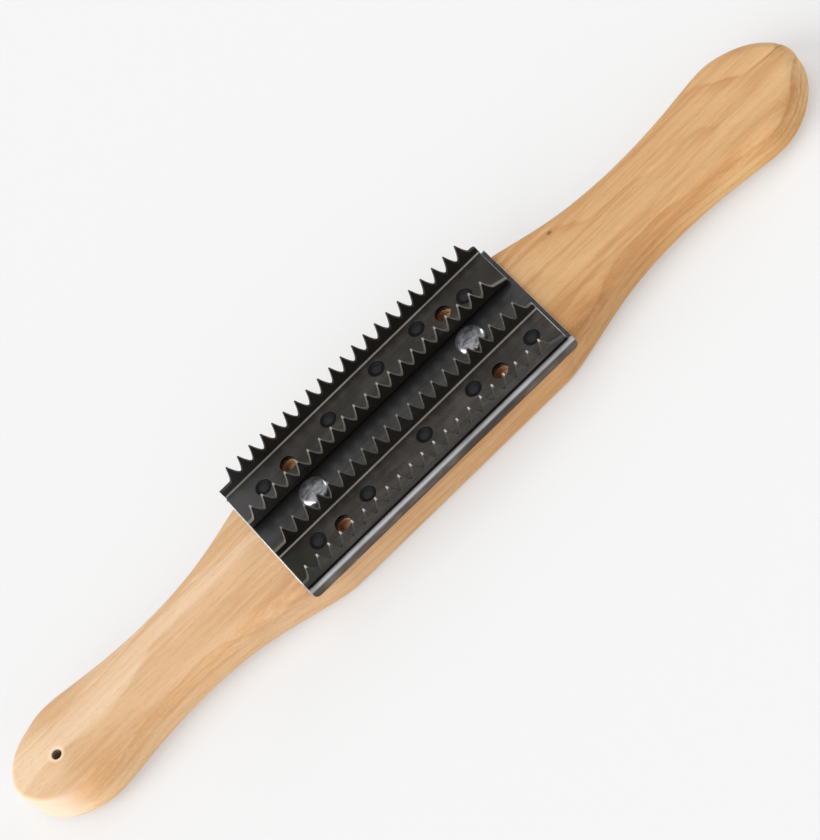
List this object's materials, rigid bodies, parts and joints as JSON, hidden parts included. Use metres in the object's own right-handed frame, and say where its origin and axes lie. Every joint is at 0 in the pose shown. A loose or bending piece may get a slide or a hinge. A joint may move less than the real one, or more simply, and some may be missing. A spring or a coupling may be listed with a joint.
{
  "type": "hand carder",
  "caption": "Wooden board with a shaped handle at each end and saw-toothed steel channels spot-welded to a folded base plate across its middle.",
  "frame": {"origin": "centre of the board's flat back face", "axes": "+X runs along the tool, away from the handle with the hang hole; +Z points straight out of the toothed face; +Y is across the tool"},
  "size_m": [0.4352, 0.0664, 0.0351],
  "materials": {
    "beech_wood": "bare pale beech or birch, sanded, straight grain along the tool",
    "bare_sheet_steel": "bare mild steel sheet, grey and lightly worn, bright on sheared edges",
    "dark_rolled_steel": "dark, oiled, hot-rolled steel sheet with bright folds and tooth tips",
    "heat_tinted_weld": "burnt blue-black spot-weld mark, slightly dished",
    "zinc_plated_steel": "bright zinc plating, slightly mottled"
  },
  "bodies": {
    "root": {"wooden_body": "beech_wood", "base_plate": "bare_sheet_steel", "toothed_channel_rear": "dark_rolled_steel", "toothed_channel_front": "dark_rolled_steel", "spot_weld_rear_1": "heat_tinted_weld", "spot_weld_rear_2": "heat_tinted_weld", "spot_weld_rear_3": "heat_tinted_weld", "spot_weld_rear_4": "heat_tinted_weld", "spot_weld_rear_5": "heat_tinted_weld", "spot_weld_front_1": "heat_tinted_weld", "spot_weld_front_2": "heat_tinted_weld", "spot_weld_front_3": "heat_tinted_weld", "spot_weld_front_4": "heat_tinted_weld", "spot_weld_front_5": "heat_tinted_weld", "carriage_bolt_left": "zinc_plated_steel", "washer_left": "zinc_plated_steel", "nut_left": "zinc_plated_steel", "carriage_bolt_right": "zinc_plated_steel", "washer_right": "zinc_plated_steel", "nut_right": "zinc_plated_steel"}
  },
  "joints": []
}
